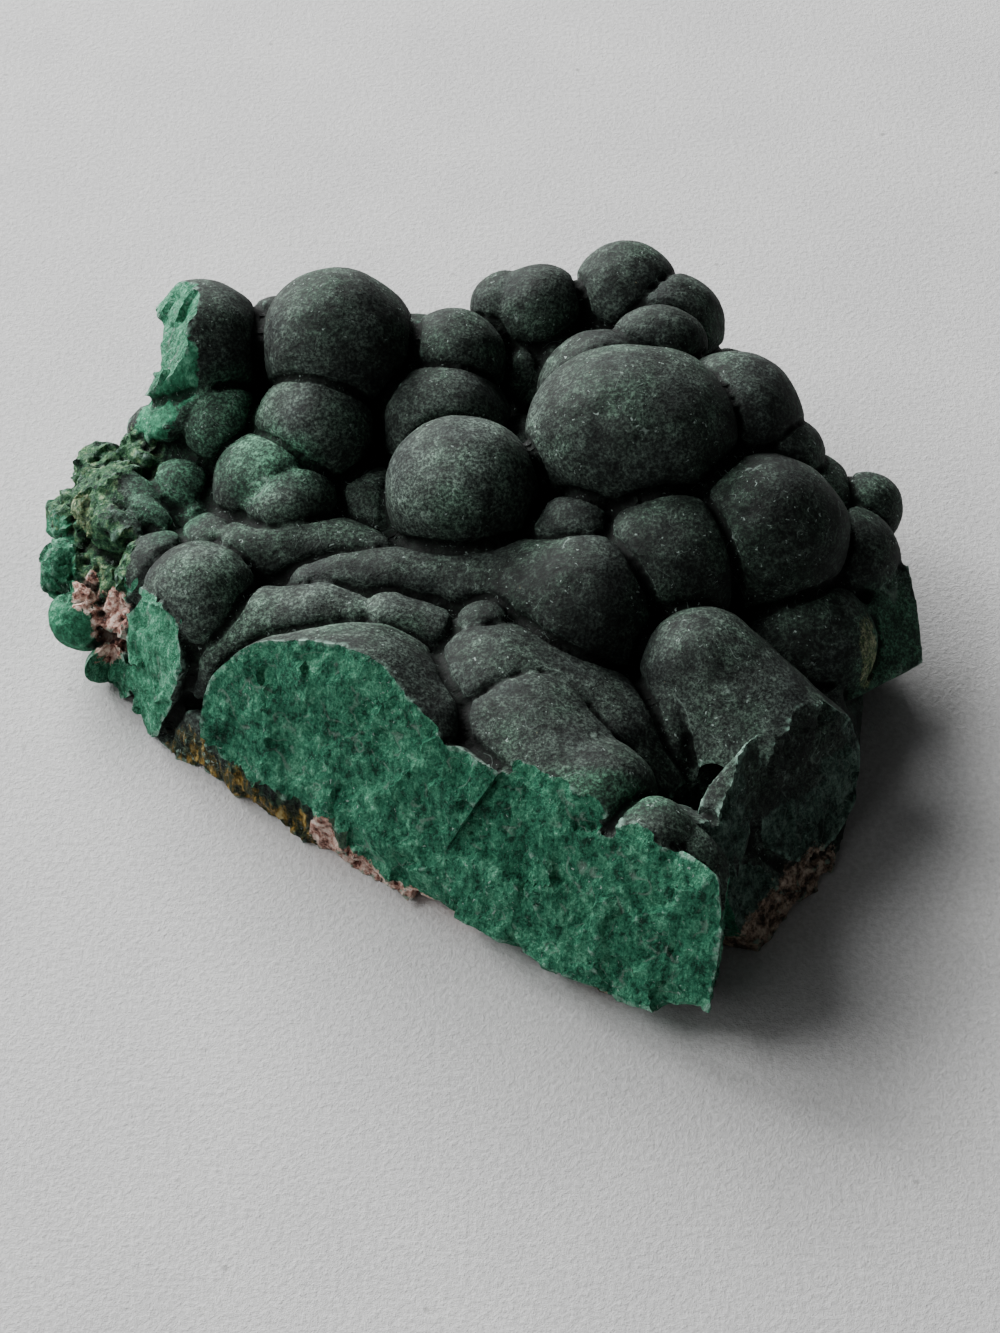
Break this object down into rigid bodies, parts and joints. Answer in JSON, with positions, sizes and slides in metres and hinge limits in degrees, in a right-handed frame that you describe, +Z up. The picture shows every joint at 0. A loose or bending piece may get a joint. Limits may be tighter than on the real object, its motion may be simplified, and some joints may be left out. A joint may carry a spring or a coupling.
{
  "type": "malachite specimen",
  "caption": "Natural botryoidal malachite on a thin rind of matrix, with dark domed skin and broken green faces, lying flat",
  "frame": {"origin": "on the table under the middle of the stone, in the plane of its flat underside", "axes": "+Z up, +X to the viewer's right, +Y away from the viewer; the large broken front face looks toward -X and -Y"},
  "size_m": [0.1024, 0.0955, 0.0341],
  "materials": {
    "malachite": "dark grey-green velvety crust, with brighter green broken faces and brown matrix at the foot"
  },
  "bodies": {
    "root": {"malachite_specimen": "malachite"}
  },
  "joints": []
}
